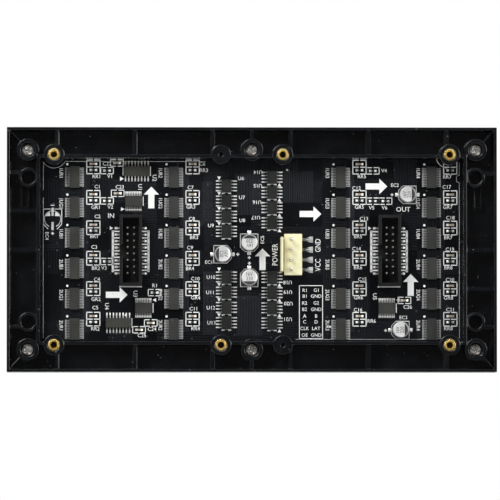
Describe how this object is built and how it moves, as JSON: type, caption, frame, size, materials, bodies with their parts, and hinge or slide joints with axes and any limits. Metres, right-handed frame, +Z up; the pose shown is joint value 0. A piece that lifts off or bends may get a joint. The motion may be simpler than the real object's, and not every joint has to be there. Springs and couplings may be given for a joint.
{
  "type": "rgb led matrix panel",
  "caption": "Flat full-colour LED display module with a moulded rear frame, wiring side open, that screws to a wall or cabinet and tiles with others.",
  "frame": {"origin": "below the middle of the module, on the plane that its lower long edge stands on", "axes": "+X right when the wiring side is seen, +Y from the wiring side towards the lit face, +Z up"},
  "size_m": [0.1918, 0.0144, 0.0958],
  "materials": {
    "frame_plastic": "moulded black, fine matt texture",
    "mask_plastic": "moulded black, matt louvres",
    "led_package": "white package with a clear lens",
    "board_laminate": "black solder mask over glass laminate",
    "board_legend": "white printed legend",
    "insert_brass": "bright turned brass",
    "screw_steel": "nickel plated steel",
    "nut_brass": "tinned brass",
    "tinned_legs": "matt tin plate",
    "solder": "reflowed solder",
    "header_pin_metal": "thin gold over nickel",
    "socket_pin_metal": "tin plate",
    "shroud_plastic": "black moulded",
    "socket_nylon": "cream nylon",
    "can_aluminium": "bright drawn can",
    "can_print": "black print on the can",
    "base_plastic": "black moulded",
    "ceramic": "brown ceramic",
    "resistor": "black glaze",
    "chip_resin": "moulded epoxy"
  },
  "bodies": {
    "root": {"blue_drivers_lower": "chip_resin", "blue_drivers_upper": "chip_resin", "capacitor_base_1": "base_plastic", "capacitor_base_2": "base_plastic", "capacitor_base_3": "base_plastic", "capacitor_base_4": "base_plastic", "capacitor_base_5": "base_plastic", "capacitor_can_1": "can_aluminium", "capacitor_can_2": "can_aluminium", "capacitor_can_3": "can_aluminium", "capacitor_can_4": "can_aluminium", "capacitor_can_5": "can_aluminium", "capacitor_tabs": "tinned_legs", "ceramic_capacitors": "ceramic", "chip_resistors": "resistor", "circuit_board": "board_laminate", "driver_legs": "tinned_legs", "frame_screws": "screw_steel", "green_drivers_lower": "chip_resin", "green_drivers_upper": "chip_resin", "input_header_pins": "header_pin_metal", "input_header_shroud": "shroud_plastic", "led_mask": "mask_plastic", "led_packages": "led_package", "output_header_pins": "header_pin_metal", "output_header_shroud": "shroud_plastic", "power_socket_base": "socket_nylon", "power_socket_pins": "socket_pin_metal", "rear_frame": "frame_plastic", "red_drivers_lower": "chip_resin", "red_drivers_upper": "chip_resin", "row_decoder_legs_lower": "tinned_legs", "row_decoder_legs_upper": "tinned_legs", "row_decoder_lower": "chip_resin", "row_decoder_upper": "chip_resin", "row_switch_legs_left_lower": "tinned_legs", "row_switch_legs_left_upper": "tinned_legs", "row_switch_legs_right_lower": "tinned_legs", "row_switch_legs_right_upper": "tinned_legs", "row_switches_left_lower": "chip_resin", "row_switches_left_upper": "chip_resin", "row_switches_right_lower": "chip_resin", "row_switches_right_upper": "chip_resin", "signal_buffer_legs": "tinned_legs", "signal_buffer_lower": "chip_resin", "signal_buffer_output": "chip_resin", "signal_buffer_upper": "chip_resin", "solder_nuts": "nut_brass", "threaded_inserts": "insert_brass"}
  },
  "joints": []
}
